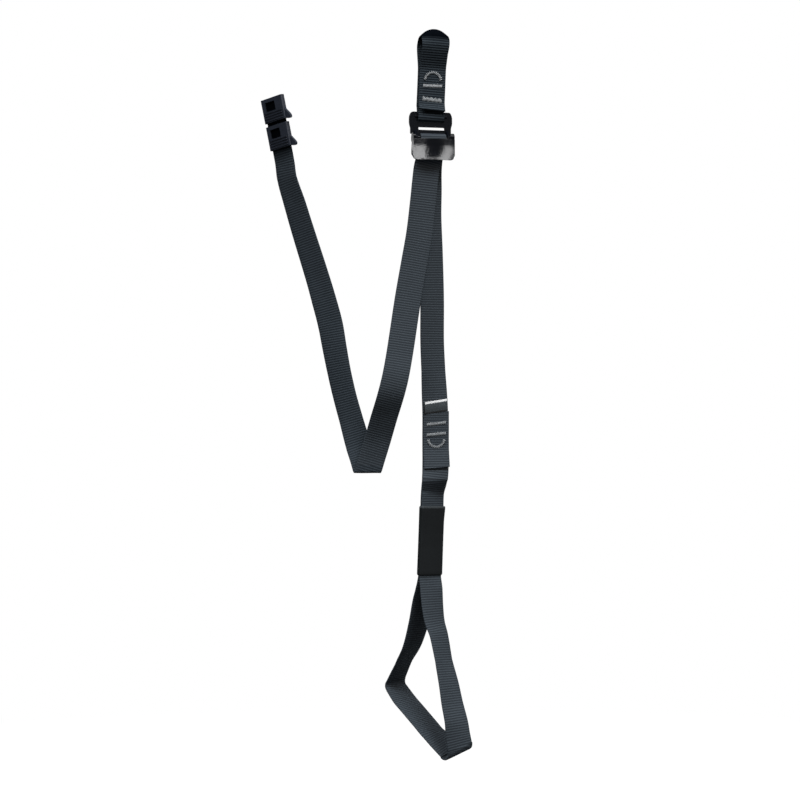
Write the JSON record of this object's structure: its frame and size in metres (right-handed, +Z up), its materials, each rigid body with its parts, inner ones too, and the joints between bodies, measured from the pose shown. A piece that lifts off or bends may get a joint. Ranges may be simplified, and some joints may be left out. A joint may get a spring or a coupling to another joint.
{
  "type": "adjustable foot loop",
  "caption": "Adjustable webbing foot loop for climbing a rope: a sewn eye, a tilting-plate buckle, a loose tail and a boot loop",
  "frame": {"origin": "the bearing point under the middle of the eye's crown, where a carabiner carries the loop", "axes": "+Z is up along the hanging strap, X runs along the buckle's bars, -Y is the front of the buckle"},
  "size_m": [0.1946, 0.1004, 0.727],
  "materials": {
    "webbing": "ribbed black polyamide webbing",
    "thread": "silver-grey sewing thread",
    "frame_steel": "satin black coated steel",
    "plate_steel": "gloss black coated steel",
    "keeper_plastic": "moulded black plastic",
    "elastic": "smooth black woven elastic",
    "label": "woven black label, bare"
  },
  "bodies": {
    "eye": {"eye_webbing": "webbing", "eye_bar_tack_upper": "thread", "eye_bar_tack_lower": "thread", "eye_half_moon_stitch": "thread"},
    "strap": {"buckle_frame": "frame_steel", "strap_over_release_bar": "webbing", "standing_strap": "webbing", "tail_front_limb": "webbing", "label_tab": "label", "splice_cover": "webbing", "foot_bar_tack_upper": "thread", "foot_bar_tack_lower": "thread", "foot_half_moon_stitch": "thread", "foot_back_arm": "webbing", "foot_sole": "webbing", "foot_front_arm": "webbing"},
    "release": {"release_plate": "plate_steel"},
    "sleeve": {"elastic_sleeve": "elastic"},
    "tail_end": {"tail_back_limb": "webbing"},
    "keeper_upper": {"upper_keeper": "keeper_plastic"},
    "keeper_lower": {"lower_keeper": "keeper_plastic"}
  },
  "joints": [
    {"name": "buckle_swing", "type": "hinge", "parent": "eye", "child": "strap", "pos_m": [-0.0036, 0, -0.086], "axis": [1, 0, 0], "range_deg": [-60, 60]},
    {"name": "release_tilt", "type": "hinge", "parent": "strap", "child": "release", "pos_m": [-0.0036, -0.0055, -0.108], "axis": [-1, 0, 0], "range_deg": [0, 70]},
    {"name": "sleeve_slide", "type": "slide", "parent": "strap", "child": "sleeve", "axis": [0.034, -0.0085, 0.9994], "range_m": [0, 0.011]},
    {"name": "tail_fold", "type": "hinge", "parent": "strap", "child": "tail_end", "pos_m": [-0.06472, 0.01614, -0.443], "axis": [-0.9703, 0.2419, 0], "range_deg": [0, 165]},
    {"name": "upper_keeper_slide", "type": "slide", "parent": "tail_end", "child": "keeper_upper", "axis": [0.1848, -0.0461, -0.9817], "range_m": [0, 0.003]},
    {"name": "lower_keeper_slide", "type": "slide", "parent": "tail_end", "child": "keeper_lower", "axis": [0.1848, -0.0461, -0.9817], "range_m": [0, 0.017]}
  ]
}
